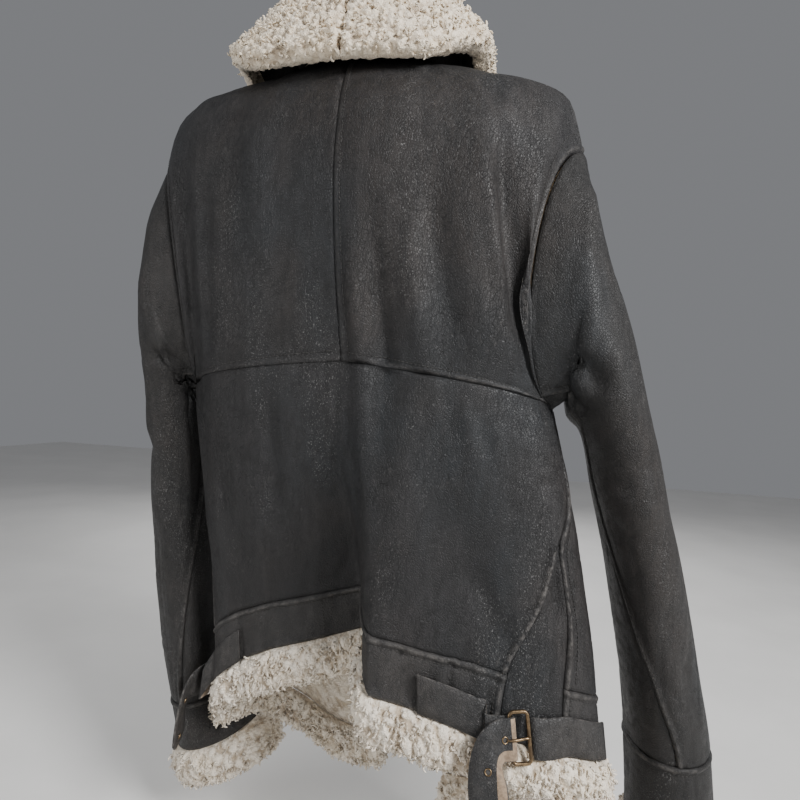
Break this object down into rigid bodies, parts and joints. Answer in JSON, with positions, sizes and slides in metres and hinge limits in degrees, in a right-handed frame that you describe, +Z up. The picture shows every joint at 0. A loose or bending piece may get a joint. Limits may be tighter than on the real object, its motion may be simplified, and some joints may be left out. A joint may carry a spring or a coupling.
{
  "type": "shearling-lined leather jacket on a clothes hanger",
  "caption": "Leather jacket lined with curly wool, hanging open on a hanger, with a wool collar, wool at cuffs and hem, and buckled side straps.",
  "frame": {"origin": "inner top of the hanger hook's bend, where it rests on the rail", "axes": "+X to the wearer's left, +Y to the wearer's back, +Z up"},
  "size_m": [0.6916, 0.2708, 1.0121],
  "materials": {
    "leather": "worn, finely crackled, dark grey",
    "wool": "curly cream wool",
    "aged_brass": "aged",
    "steel": "satin",
    "zip_tape": "woven",
    "wood": "varnished"
  },
  "bodies": {
    "jacket": {"back_yoke_left": "leather", "back_yoke_right": "leather", "lower_back": "leather", "hem_band_back": "leather", "side_gusset_right": "leather", "side_gusset_left": "leather", "front_right": "leather", "hem_band_right": "leather", "front_left": "leather", "hem_band_left": "leather", "sleeve_top_left": "leather", "sleeve_under_left": "leather", "cuff_left": "leather", "cuff_wool_left": "wool", "sleeve_top_right": "leather", "sleeve_under_right": "leather", "cuff_right": "leather", "cuff_wool_right": "wool", "hem_wool_back": "wool", "hem_wool_right": "wool", "hem_wool_left": "wool", "collar_left": "wool", "collar_right": "wool", "adjuster_strap_right": "leather", "buckle_right": "aged_brass", "buckle_tab_right": "leather", "adjuster_strap_left": "leather", "buckle_left": "aged_brass", "buckle_tab_left": "leather", "zip_tape_left": "zip_tape", "zip_tape_right": "zip_tape", "zip_slider": "steel", "hanger": "wood", "hanger_hook": "steel"},
    "pull_tab": {"zip_pull_tab": "steel"}
  },
  "joints": [
    {"name": "pull_tab_hinge", "type": "hinge", "parent": "jacket", "child": "pull_tab", "pos_m": [-0.0376, -0.09628, -0.87023], "axis": [-0.9828, -0.0152, 0.1839], "range_deg": [0, 160]}
  ]
}
